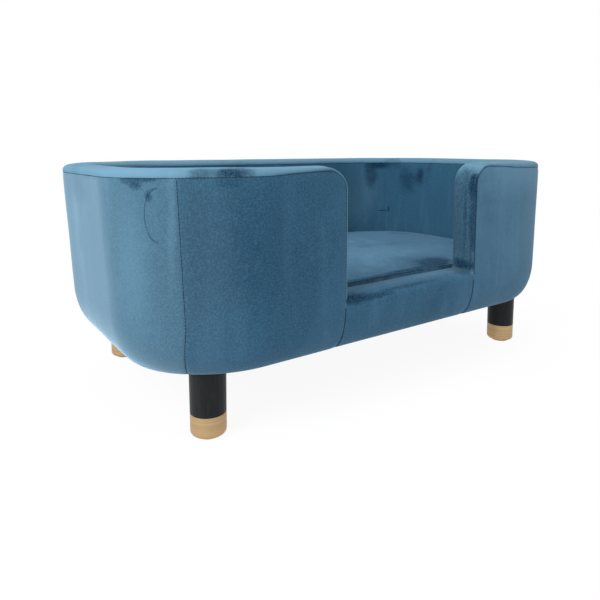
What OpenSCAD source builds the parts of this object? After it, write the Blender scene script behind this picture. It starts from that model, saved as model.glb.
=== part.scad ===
// Dog sofa bed: a low C-shaped padded wall round a loose seat cushion, open in the middle of the
// front, on four turned legs. Millimetres, +Z up. The origin is on the floor under the middle of
// the body, +X runs along the length and the entry opening faces -Y.

/* [Body] */
// Length over the rim
body_l = 860; // [760:10:1000]
// Depth over the rim
body_d = 490; // [450:10:600]
// Height of the rim above the floor
body_h = 350; // [320:5:420]
// Height of the flat underside above the floor
body_z = 90; // [70:5:120]
// How far each side leans out from the underside to the rim
side_flare = 16; // [0:1:24]
// Corner radius of the front along the length
front_rx = 174; // [150:2:200]
// Corner radius of the front along the depth
front_ry = 142; // [125:1:170]
// Corner radius of the back along the length
back_rx = 220; // [180:5:260]
// Corner radius of the back along the depth
back_ry = 176; // [150:2:210]
// Overhang of the rounded lower edge
bull_h = 34; // [30:1:40]
// Height of the rounded lower edge
bull_v = 66; // [60:1:80]

/* [Wall] */
// Thickness of the padded wall
wall_t = 46; // [42:1:56]
// Thickness of the velvet with its backing
cover_t = 1.5; // [1:0.1:2]
// Thickness of the wadding on the outside
wadding_t = 6; // [4:0.5:8]
// Thickness of the foam on the inside
foam_t = 8; // [5:0.5:10]
// Thickness of the two bent boards
board_t = 3; // [2.5:0.5:4]
// Drop of the rim seam below the crown
seam_drop = 9; // [8:0.5:11]
// Width of the rounding on each edge of the rim strip
crown_r = 10; // [8:0.5:13]
// Width of the velvet that turns in under the base
tuck_w = 22; // [15:1:30]

/* [Entry] */
// Width of the entry opening
entry_w = 278; // [220:2:320]
// Radius of the top corner at each arm end
end_r = 32; // [26:1:42]
// Height of the front rail above the floor
rail_h = 172; // [160:1:190]
// Set-back of the rail face from the arm fronts
rail_back = 1; // [0.5:0.5:9]
// Rounding of the rail's front edge along the depth
rail_round = 21; // [12:1:24]
// Rounding of the rail's front edge in height
rail_drop = 14; // [10:1:18]
// Rounding of the rail's rear edge
rail_rear_r = 8; // [6:0.5:10]

/* [Base] */
// Thickness of the lower base panel, which carries the legs
base_lower_t = 16; // [12:0.5:18]
// Thickness of the upper base panel, which carries the wall
base_upper_t = 12; // [9:0.5:15]
// Thickness of the cloth over the seat deck
deck_t = 1; // [0.6:0.1:1.5]
// Thickness of the dust cover under the base
dust_t = 0.8; // [0.6:0.1:1]
// Height of the bottom hoop of the wall frame
hoop_low_h = 20; // [15:1:24]
// Height of the top hoop of the wall frame
hoop_top_h = 15; // [12:1:20]
// Width of each upright along the wall
stud_w = 30; // [20:1:40]
// Thickness of the front rail board
rail_board_t = 17; // [12:0.5:18]

/* [Legs] */
// Distance from each end of the rim in to the leg axes
leg_end_inset = 113; // [110:1:130]
// Distance from the front face in to the front leg axes
leg_front_inset = 69; // [67:1:85]
// Distance from the back face in to the rear leg axes
leg_rear_inset = 76; // [74:1:90]
// Radius of a leg at its top
leg_r = 24.5; // [20:0.5:26]
// Radius of a leg at the top of its metal tip
leg_tip_r = 24; // [19:0.5:26]
// Height of the metal tip above the floor
tip_h = 32; // [20:1:45]
// Wall of the metal tip
tip_wall = 1; // [0.8:0.1:1.5]
// Rounding of the metal tip's lower edge
tip_round = 6; // [3:0.5:8]
// Radius of the floor glide
glide_r = 16; // [12:0.5:18]
// Thickness of the floor glide
glide_t = 2; // [1.5:0.5:4]
// Radius of the hanger bolt
bolt_r = 4; // [3:0.5:5]
// Depth of the hanger bolt in the leg
bolt_depth = 40; // [25:1:45]

/* [Cushion] */
// Height of the cushion's top seam above the floor
cushion_seam_z = 174; // [165:1:182]
// Rise of the cushion's crown above its top seam
cushion_crown = 14; // [8:1:22]
// Free space between the cushion's foot and the wall
cushion_gap = 4.5; // [4:0.5:7]
// Pull of the long front side between its corners
cushion_pull = 3; // [0:0.5:5]
// Distance from each end of the zip to the bend of the rear corner
zip_end_gap = 20; // [15:5:100]

/* [Hidden] */

// Clearance between neighbouring pieces, and the overrun of every cut.
fit_gap = 0.25;
cut_over = 1;

// Steps in each plan corner, in the lower rounding, and in the small roundings.
corner_steps = 8;
bull_steps = 5;
crown_steps = 4;
end_steps = 5;

// Plan of the body: corner centres and the half opening.
half_l = body_l / 2;
half_d = body_d / 2;
half_entry = entry_w / 2;
front_cx = half_l - front_rx;
front_cy = front_ry - half_d;
back_cx = half_l - back_rx;
back_cy = half_d - back_ry;
path_end = 9;
front_seam_share = 1.45;
rear_seam_share = 3.5;
wadding_seam_share = 3.75;
seam_du = fit_gap / (PI / 2 * back_rx);

// Depths of the wall's layers, from its outer face.
wadding_in = cover_t + fit_gap;
wadding_out = wadding_in + wadding_t;
board_in = wadding_out + fit_gap;
frame_in = board_in + board_t + fit_gap;
inside_in = wall_t - cover_t;
foam_out = inside_in - fit_gap;
foam_in = foam_out - foam_t;
inner_board_out = foam_in - fit_gap;
inner_board_in = inner_board_out - board_t;
frame_out = inner_board_in - fit_gap;

// Heights of the base, the frame and the rim.
bull_top = body_z + bull_v;
base_z = body_z + cover_t + fit_gap;
dust_z = body_z - fit_gap - dust_t;
base_mid = base_z + base_lower_t;
base_top = base_mid + base_upper_t;
frame_z = base_top + fit_gap;
seam_z = body_h - seam_drop;
frame_top = seam_z - fit_gap;
hoop_top_z = frame_top - hoop_top_h;
hoop_low_top = base_top + hoop_low_h;
lower_edge = bull_h + fit_gap;
upper_edge = bull_foot(base_mid) + fit_gap;
hoop_edge = max(frame_in, bull_foot(base_top)) + fit_gap;

// The rim's run round an arm end: radius of the panel edge that follows it.
panel_r = end_r - seam_drop - fit_gap;
end_share = end_r / (front_cx - half_entry);

// Front rail.
rail_half = half_entry - fit_gap;
rail_board_top = rail_h - rail_drop - cover_t;

// Legs: a leg stands in a shallow socket under the lower base panel.
leg_x = half_l - leg_end_inset;
leg_front_y = leg_front_inset - half_d;
leg_rear_y = half_d - leg_rear_inset;
socket_depth = 8;
leg_top = base_z + socket_depth - fit_gap;
leg_clear = 0.3;
hole_sides = 30;
spigot_gap = 0.1;
spigot_r = leg_tip_r - tip_wall - spigot_gap;
tip_floor_z = glide_t + spigot_gap;
spigot_z = tip_floor_z + tip_wall + spigot_gap;
glide_nail_r = 1.25;
glide_nail_l = 14;
nut_flange_r = 11;
nut_flange_t = 1.5;
nut_barrel_r = 5;
nut_barrel_l = 9;
bolt_gap = 0.08;
bolt_z = leg_top - bolt_depth;
bolt_top = base_top - nut_flange_t;

// Screws that hold the bottom hoop, staples that hold the dust cover.
screw_r = 2;
screw_head_r = 4;
screw_head_h = 2.4;
screw_gap = 0.1;
screw_l = base_upper_t + hoop_low_h - 4 * screw_r;
screw_depth = (hoop_edge + frame_out) / 2;
screw_shares = [0.5, 2.2, 2.8, 4.2, 4.8, 6.2, 6.8, 8.5];
back_upright_shares = [4.15, 4.5, 4.85];
side_upright_shares = [2.2, 2.8, 6.2, 6.8];
front_upright_shares = [0.7, 8.3];
staple_wire = 0.7;
staple_w = 11;
staple_leg = 9;
staple_inset = 14;
staple_rows = 5;

// Cushion.
cushion_z = frame_z + deck_t + fit_gap;
cushion_depth = wall_t + cushion_gap;
cushion_side_pull = cushion_pull / 2;
cushion_ring_shares = [1, 0.97, 0.9, 0.78, 0.6, 0.36];
cushion_crown_power = 3;
cushion_straight_steps = 4;
cushion_corner_steps = 6;
box_top = cushion_seam_z - cover_t - fit_gap;
box_bottom = cushion_z + cover_t + fit_gap;
cushion_front_y = cushion_depth - half_d;
cushion_back_y = half_d - cushion_depth;
cushion_mid_y = (cushion_front_y + cushion_back_y) / 2;
zip_l = 2 * (back_cx - zip_end_gap);
zip_z = (box_top + box_bottom) / 2;
zip_tape_h = 24;
zip_tape_t = 0.6;
zip_coil_r = 0.8;
zip_stop_l = 3;
slider_l = 10;
slider_h = 8;
slider_t = 2;
slider_gap = 0.3;
slider_inset = zip_stop_l + slider_l / 2 + slider_gap;
pull_l = 16;
pull_w = 5;
pull_t = 1;
zip_y = cushion_back_y + fit_gap;
zip_coil_y = zip_y + zip_coil_r + slider_gap / 2;

// Colours.
velvet_blue = [0.2, 0.38, 0.52];
deep_blue = [0.13, 0.28, 0.42];
seat_blue = [0.32, 0.5, 0.62];
foam_cream = [0.93, 0.9, 0.8];
wadding_white = [0.95, 0.95, 0.94];
timber = [0.82, 0.68, 0.48];
hardboard = [0.55, 0.4, 0.26];
leg_black = [0.1, 0.11, 0.11];
tip_gold = [0.78, 0.62, 0.4];
plastic_black = [0.08, 0.08, 0.08];
steel = [0.7, 0.7, 0.72];

// How far each side stands inside the rim at height z.
function flare(z) = side_flare * (body_h - z) / (body_h - body_z);

function arc_point(cx, cy, rx, ry, a) = [cx + rx * cos(a), cy + ry * sin(a)];

// Plan point of the wall. The whole part of u counts the stretches from the left end of the entry
// round the back to its right end, straight and curved in turn, and d is the depth below the face.
function plan(u, z, d) =
    let (k = min(floor(u), path_end - 1), t = u - k, ds = d + flare(z))
    k == 0 ? [-half_entry - t * (front_cx - half_entry), d - half_d] :
    k == 1 ? arc_point(-front_cx, front_cy, front_rx - ds, front_ry - d, 270 - 90 * t) :
    k == 2 ? [ds - half_l, front_cy + t * (back_cy - front_cy)] :
    k == 3 ? arc_point(-back_cx, back_cy, back_rx - ds, back_ry - d, 180 - 90 * t) :
    k == 4 ? [(2 * t - 1) * back_cx, half_d - d] :
    k == 5 ? arc_point(back_cx, back_cy, back_rx - ds, back_ry - d, 90 - 90 * t) :
    k == 6 ? [half_l - ds, back_cy - t * (back_cy - front_cy)] :
    k == 7 ? arc_point(front_cx, front_cy, front_rx - ds, front_ry - d, -90 * t) :
    [front_cx - t * (front_cx - half_entry), d - half_d];

// Stations of the wall path strictly between two values, closer together in the corners.
function between(u0, u1, bends, straights) = [
    for (k = [0 : path_end - 1])
        let (n = k % 2 == 1 ? bends : straights)
        for (j = [0 : n - 1])
            let (u = k + j / n)
            if (u > u0 + seam_du && u < u1 - seam_du) u
];
function stations(u0, u1) = concat([u0], between(u0, u1, corner_steps, 1), [u1]);

// The lower rounding at depth d below the face, between two angles.
function bull(d, a0, a1, back = 0) = [
    for (i = [0 : bull_steps])
        let (a = a0 + (a1 - a0) * i / bull_steps)
        [bull_h - (bull_h - back - d) * cos(a), bull_top - (bull_v - d) * sin(a)]
];

// Depth of the wadding's inner face at height z in the lower rounding.
function bull_foot(z) =
    let (v = bull_v - wadding_out, h = bull_h - wadding_out, s = (bull_top - z) / v)
    bull_h - h * sqrt(max(0, 1 - s * s));

// A closed outline of one layer of the body at height z.
function layer_outline(z, d) = [for (u = stations(0, path_end)) plan(u, z, d)];

// One ring of a wall piece: its section, as [depth, height] points, at station u.
function wall_ring(u, section) = [
    for (p = section)
        let (q = plan(u, p[1], p[0]))
        [q[0], q[1], p[1]]
];

// Sections of the wall's layers, each with its top at the given height.
function cover_section(top) = concat(
    [[bull_h + tuck_w, body_z]], bull(0, 90, 0), [[0, top], [cover_t, top]],
    bull(cover_t, 0, 90), [[bull_h + tuck_w, body_z + cover_t]]
);
function wadding_section(top) = concat(
    bull(wadding_in, 90, 0),
    [[wadding_in, top], [wadding_out, top], [wadding_out, bull_top], [frame_in - fit_gap, bull_top],
     [frame_in - fit_gap, hoop_low_top], [hoop_edge - fit_gap, hoop_low_top], [hoop_edge - fit_gap, frame_z],
     [upper_edge - fit_gap, frame_z], [upper_edge - fit_gap, base_mid - fit_gap],
     [bull_h, base_mid - fit_gap]]
);
function slab_section(d0, d1, low, top) = [[d0, low], [d0, top], [d1, top], [d1, low]];

// Station at a distance past the left end of the entry, along the front.
function front_u(e) = e / (front_cx - half_entry);

// Rings of a panel that starts at the left arm end, where its edge follows the rounded top corner
// and its foot reaches on to the entry, and that ends at station u1.
foot_top = bull_top + fit_gap;
corner_angles = [for (i = [0 : end_steps - 1]) 90 - 90 * i / end_steps];
function arm_rings(section, u1) = concat(
    [for (e = [fit_gap, seam_drop + fit_gap / 2]) wall_ring(front_u(e), section(foot_top))],
    [for (a = corner_angles)
        wall_ring(front_u(end_r - panel_r * sin(a)), section(body_h - end_r + panel_r * cos(a)))],
    [for (u = stations(end_share, u1)) wall_ring(u, section(frame_top))]
);

// Section of the rim strip as [depth, drop below the crown] points, at an offset below its face.
function rim_edge(offset) = concat(
    [for (i = [0 : crown_steps])
        let (a = 90 * i / crown_steps)
        [crown_r - (crown_r - offset) * cos(a), seam_drop - (seam_drop - offset) * sin(a)]],
    [for (i = [0 : crown_steps])
        let (a = 90 - 90 * i / crown_steps)
        [wall_t - crown_r + (crown_r - offset) * cos(a), seam_drop - (seam_drop - offset) * sin(a)]]
);
function reversed(list) = [for (i = [len(list) - 1 : -1 : 0]) list[i]];

// One ring of the rim on the wall, on the arc over an arm end, and down the end face.
function rim_on_wall(u, section) = [
    for (p = section)
        let (q = plan(u, body_h - p[1], p[0]))
        [q[0], q[1], body_h - p[1]]
];
function rim_on_arc(side, a, section) = [
    for (p = section)
        [side * (half_entry + end_r - (end_r - p[1]) * sin(a)), p[0] - half_d,
         body_h - end_r + (end_r - p[1]) * cos(a)]
];
function rim_on_end(side, z, section) = [for (p = section) [side * (half_entry + p[1]), p[0] - half_d, z]];
function rim_rings(section, foot) = concat(
    [rim_on_end(-1, foot, section)],
    [for (a = corner_angles) rim_on_arc(-1, a, section)],
    [for (u = stations(end_share, path_end - end_share)) rim_on_wall(u, section)],
    [for (a = reversed(corner_angles)) rim_on_arc(1, a, section)],
    [rim_on_end(1, foot, section)]
);

// How steeply the line between two points climbs towards the back.
function climb(p, q) = (q[2] - p[2]) * (q[1] - p[1]);

// A closed solid through rings of equal length. Each four-sided face is split along the line that
// climbs towards the back, so that pieces that face each other are split alike.
module through_rings(rings) {
    n = len(rings[0]);
    m = len(rings);
    points = [for (r = rings) each r];
    sides = [
        for (i = [0 : m - 2])
            for (j = [0 : n - 1])
                let (k = (j + 1) % n, a = i * n + j, b = i * n + k, c = a + n, d = b + n)
                each climb(points[a], points[d]) >= climb(points[b], points[c])
                    ? [[a, b, d], [a, d, c]]
                    : [[a, b, c], [b, d, c]]
    ];
    first = [for (j = [n - 1 : -1 : 0]) j];
    last = [for (j = [0 : n - 1]) (m - 1) * n + j];
    polyhedron(points, concat(sides, [first, last]), convexity = 10);
}

// The same through rings that follow the wall path, so that its faces point outwards.
module along_wall(rings) {
    through_rings(reversed(rings));
}

module wall_run(u0, u1, section) {
    along_wall([for (u = stations(u0, u1)) wall_ring(u, section)]);
}

// The pieces of one layer: along the back between the rear seams, and round an arm up to one.
module across_back(section) {
    wall_run(rear_seam_share + seam_du, path_end - rear_seam_share - seam_du, section);
}

module round_arm(section, u1) {
    along_wall(arm_rings(section, u1 - seam_du));
}

module on_right() {
    mirror([1, 0, 0])
        children();
}

// The leg axes: front left, front right, rear left, rear right.
leg_places = [
    [-leg_x, leg_front_y, 0], [leg_x, leg_front_y, 0],
    [-leg_x, leg_rear_y, 0], [leg_x, leg_rear_y, 0]
];

module at_legs() {
    for (place = leg_places)
        translate(place)
            children();
}

module at_leg(i) {
    translate(leg_places[i])
        children();
}

// The hole for one leg through cloth and padding, with flat sides.
module leg_hole(i) {
    low = dust_z - cut_over;
    side_angle = 360 / hole_sides;
    corner_r = (leg_r + leg_clear) / cos(side_angle / 2);
    at_leg(i)
        translate([0, 0, low])
            linear_extrude(leg_top + leg_clear - low)
                polygon([
                    for (j = [0 : hole_sides - 1])
                        corner_r * [cos(j * side_angle), sin(j * side_angle)]
                ]);
}

// The base

module bolt_hole(r, z, h) {
    at_legs()
        translate([0, 0, z - cut_over])
            cylinder(h = h + 2 * cut_over, r = r, $fn = 32);
}

module base_lower() {
    color(timber)
        difference() {
            translate([0, 0, base_z])
                linear_extrude(base_lower_t)
                    polygon(layer_outline(base_z, lower_edge));
            at_legs()
                translate([0, 0, base_z - cut_over])
                    cylinder(h = socket_depth + cut_over, r = leg_r + leg_clear, $fn = 48);
            bolt_hole(bolt_r + screw_gap, base_z, base_lower_t);
        }
}

module base_upper() {
    color(timber)
        difference() {
            translate([0, 0, base_mid])
                linear_extrude(base_upper_t)
                    polygon(layer_outline(base_mid, upper_edge));
            bolt_hole(nut_barrel_r + screw_gap, base_mid, base_upper_t);
            at_legs()
                translate([0, 0, bolt_top - screw_gap])
                    cylinder(h = nut_flange_t + cut_over, r = nut_flange_r + screw_gap, $fn = 32);
            at_screws()
                screw(screw_gap);
        }
}

module deck_cloth() {
    color(deep_blue)
        translate([0, 0, frame_z])
            linear_extrude(deck_t)
                polygon(layer_outline(frame_z, wall_t + fit_gap));
}

module dust_cover() {
    color(plastic_black)
        difference() {
            translate([0, 0, dust_z])
                linear_extrude(dust_t)
                    polygon(layer_outline(body_z, bull_h + tuck_w / 2));
            leg_hole(0);
            leg_hole(1);
            leg_hole(2);
            leg_hole(3);
        }
}

// One staple, with its crown under the dust cover and its legs up into the base panel.
module staple() {
    translate([-staple_w / 2, -staple_wire / 2, -staple_wire])
        cube([staple_w, staple_wire, staple_wire]);
    for (s = [-1, 1])
        translate([s * (staple_w - staple_wire) / 2 - staple_wire / 2, -staple_wire / 2, -staple_wire])
            cube([staple_wire, staple_wire, staple_leg]);
}

module dust_staples() {
    staple_x = leg_x - 2 * leg_r;
    staple_y = half_d - bull_h - tuck_w - staple_inset;
    color(steel)
        for (side = [-1, 1])
            for (i = [0 : staple_rows - 1])
                translate([staple_x * (2 * i / (staple_rows - 1) - 1), side * staple_y, dust_z])
                    staple();
}

// The wall frame

module at_screws() {
    for (u = screw_shares)
        let (place = plan(u, base_mid, screw_depth))
            translate([place[0], place[1], base_mid])
                children();
}

// A countersunk screw, or with a clearance the hole that it needs.
module screw(clearance) {
    translate([0, 0, -clearance])
        cylinder(h = screw_l + 2 * clearance, r = screw_r + clearance, $fn = 24);
    translate([0, 0, -clearance])
        cylinder(h = screw_head_h + clearance, r1 = screw_head_r + clearance, r2 = screw_r + clearance,
                 $fn = 24);
}

module frame_screws() {
    color(steel)
        at_screws()
            screw(0);
}

module bottom_hoop() {
    color(timber)
        difference() {
            wall_run(end_share + seam_du, path_end - end_share - seam_du,
                     slab_section(hoop_edge, frame_out, frame_z, hoop_low_top));
            at_screws()
                screw(screw_gap);
        }
}

module top_hoop() {
    color(timber)
        wall_run(end_share + seam_du, path_end - end_share - seam_du,
                 slab_section(frame_in, frame_out, hoop_top_z, frame_top));
}

// One upright at station u of a straight stretch of the given length.
module upright(u, stretch) {
    half = stud_w / 2 / stretch;
    wall_run(u - half, u + half,
             slab_section(frame_in, frame_out, hoop_low_top + fit_gap, hoop_top_z - fit_gap));
}

module uprights() {
    color(timber) {
        for (u = back_upright_shares)
            upright(u, 2 * back_cx);
        for (u = side_upright_shares)
            upright(u, back_cy - front_cy);
        for (u = front_upright_shares)
            upright(u, front_cx - half_entry);
    }
}

module outer_board() {
    color(hardboard)
        wall_run(end_share + seam_du, path_end - end_share - seam_du,
                 slab_section(board_in, board_in + board_t, foot_top, frame_top));
}

module inner_board() {
    color(hardboard)
        wall_run(end_share + seam_du, path_end - end_share - seam_du,
                 slab_section(inner_board_in, inner_board_out, frame_z, frame_top));
}

// The end post of the left arm, with a rounded top corner. Its foot steps back behind the padding of
// the lower edge and reaches along behind the rail's end.
module arm_post_left() {
    corner_x = -half_entry - end_r;
    corner_z = body_h - end_r;
    corner = [for (a = reversed(corner_angles)) [corner_x + panel_r * sin(a), corner_z + panel_r * cos(a)]];
    head = concat([[corner_x + fit_gap, foot_top], [corner_x + fit_gap, corner_z + panel_r]], corner,
                  [[corner_x + panel_r, foot_top]]);
    whole = concat([[corner_x + fit_gap, frame_z], [corner_x + fit_gap, corner_z + panel_r]], corner,
                   [[corner_x + panel_r, foot_top], [-half_entry - fit_gap, foot_top],
                    [-half_entry - fit_gap, frame_z]]);
    color(timber)
        translate([0, inner_board_out - half_d, 0])
            rotate([90, 0, 0]) {
                linear_extrude(inner_board_out - board_in)
                    polygon(head);
                linear_extrude(inner_board_out - hoop_edge)
                    polygon(whole);
            }
}

module arm_post_right() {
    on_right()
        arm_post_left();
}

// The padding

module wadding_left() {
    color(wadding_white)
        difference() {
            round_arm(function(top) wadding_section(top), wadding_seam_share);
            leg_hole(0);
            leg_hole(2);
        }
}

module wadding_back() {
    color(wadding_white)
        wall_run(wadding_seam_share + seam_du, path_end - wadding_seam_share - seam_du,
                 wadding_section(frame_top));
}

module wadding_right() {
    on_right()
        wadding_left();
}

module foam_left() {
    color(foam_cream)
        round_arm(function(top) slab_section(foam_in, foam_out, frame_z, top), rear_seam_share);
}

module foam_back() {
    color(foam_cream)
        across_back(slab_section(foam_in, foam_out, frame_z, frame_top));
}

module foam_right() {
    on_right()
        foam_left();
}

module rim_foam() {
    color(foam_cream)
        along_wall(rim_rings(rim_edge(wadding_in), foot_top + fit_gap));
}

// The velvet

module cover_front_left() {
    color(velvet_blue)
        difference() {
            round_arm(function(top) cover_section(top), front_seam_share);
            leg_hole(0);
        }
}

module cover_side_left() {
    color(velvet_blue)
        difference() {
            wall_run(front_seam_share + seam_du, rear_seam_share - seam_du, cover_section(frame_top));
            leg_hole(0);
            leg_hole(2);
        }
}

module cover_back() {
    color(velvet_blue)
        difference() {
            across_back(cover_section(frame_top));
            leg_hole(2);
            leg_hole(3);
        }
}

module cover_side_right() {
    on_right()
        cover_side_left();
}

module cover_front_right() {
    on_right()
        cover_front_left();
}

module cover_rim() {
    color(velvet_blue)
        along_wall(rim_rings(concat(rim_edge(0), reversed(rim_edge(cover_t))), foot_top + fit_gap));
}

module inside_left() {
    color(deep_blue)
        round_arm(function(top) slab_section(inside_in, wall_t, frame_z, top), rear_seam_share);
}

module inside_back() {
    color(deep_blue)
        across_back(slab_section(inside_in, wall_t, frame_z, frame_top));
}

module inside_right() {
    on_right()
        inside_left();
}

// The front rail. Its sections are [depth, height] points, drawn out along X.

function rail_edge(offset) = concat(
    bull(offset, 90, 0, rail_back),
    [for (i = [0 : crown_steps])
        let (a = 90 * i / crown_steps)
        [rail_back + rail_round - (rail_round - offset) * cos(a),
         rail_h - rail_drop + (rail_drop - offset) * sin(a)]],
    [for (i = [0 : crown_steps])
        let (a = 90 - 90 * i / crown_steps)
        [wall_t - rail_rear_r + (rail_rear_r - offset) * cos(a),
         rail_h - rail_rear_r + (rail_rear_r - offset) * sin(a)]],
    [[wall_t - offset, frame_z]]
);

module along_rail() {
    translate([-rail_half, -half_d, 0])
        rotate([90, 0, 90])
            linear_extrude(2 * rail_half)
                children();
}

module rail_board_outline(clearance) {
    translate([upper_edge + fit_gap - clearance, frame_z - clearance])
        square([rail_board_t + 2 * clearance, rail_board_top - frame_z + 2 * clearance]);
}

module rail_board() {
    color(timber)
        along_rail()
            rail_board_outline(0);
}

module rail_foam() {
    outline = concat(
        rail_edge(wadding_in),
        [[upper_edge - fit_gap, frame_z], [upper_edge - fit_gap, base_mid - fit_gap],
         [bull_h, base_mid - fit_gap]]
    );
    color(foam_cream)
        along_rail()
            difference() {
                polygon(outline);
                rail_board_outline(fit_gap);
            }
}

module cover_rail() {
    outline = concat(
        [[bull_h + tuck_w, body_z]], rail_edge(0), reversed(rail_edge(cover_t)),
        [[bull_h + tuck_w, body_z + cover_t]]
    );
    color(velvet_blue)
        along_rail()
            polygon(outline);
}

// The legs

// The rounded lower edge of a metal tip, at an offset inside its face.
function tip_edge(offset) = [
    for (i = [0 : crown_steps])
        let (a = 90 - 90 * i / crown_steps)
        [leg_tip_r - tip_round + (tip_round - offset) * cos(a),
     tip_floor_z + tip_round - (tip_round - offset) * sin(a)]
];

module leg() {
    color(leg_black)
        difference() {
            rotate_extrude($fn = 64)
                polygon(concat(
                    [[0, spigot_z]], tip_edge(tip_wall + spigot_gap),
                    [[spigot_r, tip_h], [leg_tip_r, tip_h], [leg_r, leg_top], [0, leg_top]]
                ));
            translate([0, 0, bolt_z])
                cylinder(h = bolt_depth + cut_over, r = bolt_r + bolt_gap, $fn = 32);
            translate([0, 0, spigot_z - cut_over])
                cylinder(h = glide_nail_l + cut_over, r = glide_nail_r + bolt_gap, $fn = 24);
        }
}

module tip() {
    color(tip_gold)
        rotate_extrude($fn = 64)
            polygon(concat(
                [[glide_nail_r + bolt_gap, tip_floor_z]], tip_edge(0),
                [[leg_tip_r, tip_h - spigot_gap], [leg_tip_r - tip_wall, tip_h - spigot_gap]],
                reversed(tip_edge(tip_wall)),
                [[glide_nail_r + bolt_gap, tip_floor_z + tip_wall]]
            ));
}

module glide() {
    cylinder(h = glide_t, r = glide_r, $fn = 48);
    cylinder(h = glide_t + glide_nail_l, r = glide_nail_r, $fn = 24);
}

module glides() {
    color(plastic_black)
        at_legs()
            glide();
}

module hanger_bolts() {
    color(steel)
        at_legs()
            translate([0, 0, bolt_z + bolt_gap])
                cylinder(h = base_top - bolt_gap - bolt_z - bolt_gap, r = bolt_r, $fn = 32);
}

module tee_nuts() {
    color(steel)
        at_legs()
            difference() {
                union() {
                    translate([0, 0, bolt_top])
                        cylinder(h = nut_flange_t, r = nut_flange_r, $fn = 32);
                    translate([0, 0, bolt_top - nut_barrel_l])
                        cylinder(h = nut_barrel_l, r = nut_barrel_r, $fn = 32);
                }
                translate([0, 0, bolt_top - nut_barrel_l - cut_over])
                    cylinder(h = nut_barrel_l + nut_flange_t + 2 * cut_over, r = bolt_r + bolt_gap, $fn = 32);
            }
}

// The cushion

// The long front side and the two ends are drawn in between their corners.
function front_pull(x) = cushion_pull * pow(1 - pow(x / front_cx, 2), 2);
function side_pull(y) =
    let (reach = (back_cy - front_cy) / 2, mid = (back_cy + front_cy) / 2)
    cushion_side_pull * pow(1 - pow((y - mid) / reach, 2), 2);

function cushion_point(u, inset) =
    let (p = plan(u, cushion_z, cushion_depth + inset), k = min(floor(u), path_end - 1))
    k == 0 || k == path_end - 1 ? [p[0], p[1] + front_pull(p[0])] :
    k == 2 ? [p[0] + side_pull(p[1]), p[1]] :
    k == 6 ? [p[0] - side_pull(p[1]), p[1]] :
    p;

// The cushion's closed outline, at an inset from its face.
function cushion_outline(inset) = concat(
    [for (u = concat([0], between(0, path_end, cushion_corner_steps, cushion_straight_steps), [path_end]))
        cushion_point(u, inset)],
    [for (i = [1 : cushion_straight_steps - 1])
        let (x = half_entry * (1 - 2 * i / cushion_straight_steps))
        [x, cushion_front_y + inset + front_pull(x)]]
);

// One ring of the crown: the outline drawn towards the middle to a share of its size.
function crown_ring(inset, share, below) = [
    for (p = cushion_outline(inset))
        [p[0] * share, cushion_mid_y + (p[1] - cushion_mid_y) * share,
         cushion_seam_z + cushion_crown * (1 - pow(share, cushion_crown_power)) - below]
];

function flat_ring(inset, z) = [for (p = cushion_outline(inset)) [p[0], p[1], z]];

module cushion_top() {
    color(seat_blue)
        through_rings(concat(
            [for (s = reversed(cushion_ring_shares)) crown_ring(0, s, cover_t)],
            [for (s = cushion_ring_shares) crown_ring(0, s, 0)]
        ));
}

module cushion_foam() {
    color(foam_cream)
        through_rings(concat(
            [flat_ring(wadding_in, box_bottom)],
            [for (s = cushion_ring_shares) crown_ring(wadding_in, s, wadding_in)]
        ));
}

module cushion_boxing() {
    color(seat_blue)
        translate([0, 0, box_bottom])
            linear_extrude(box_top - box_bottom)
                difference() {
                    polygon(cushion_outline(0));
                    polygon(cushion_outline(cover_t));
                }
}

module cushion_bottom() {
    color(deep_blue)
        translate([0, 0, cushion_z])
            linear_extrude(cover_t)
                polygon(cushion_outline(0));
}

// The zip along the straight back of the boxing: its tape, its coil and a stop at each end.
module zip() {
    stop_h = 4 * zip_coil_r;
    color(deep_blue) {
        translate([-zip_l / 2, zip_y, zip_z - zip_tape_h / 2])
            cube([zip_l, zip_tape_t, zip_tape_h]);
        translate([-zip_l / 2, zip_coil_y, zip_z])
            rotate([0, 90, 0])
                cylinder(h = zip_l, r = zip_coil_r, $fn = 16);
        for (end = [-zip_l / 2, zip_l / 2 - zip_stop_l])
            translate([end, zip_y, zip_z - stop_h / 2])
                cube([zip_stop_l, zip_tape_t + 2 * zip_coil_r, stop_h]);
    }
}

// The zip's slider with its pull, at the left end of the run.
module zip_slider() {
    slider_y = zip_y + zip_tape_t + slider_gap;
    color(steel)
        translate([slider_inset - zip_l / 2, 0, 0]) {
            difference() {
                translate([-slider_l / 2, slider_y, zip_z - slider_h / 2])
                    cube([slider_l, slider_t, slider_h]);
                translate([-slider_l / 2 - cut_over, zip_coil_y, zip_z])
                    rotate([0, 90, 0])
                        cylinder(h = slider_l + 2 * cut_over, r = zip_coil_r + slider_gap, $fn = 16);
            }
            translate([-pull_w / 2, slider_y + slider_t - pull_t, zip_z - slider_h / 2 - pull_l])
                cube([pull_w, pull_t, pull_l]);
        }
}

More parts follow.
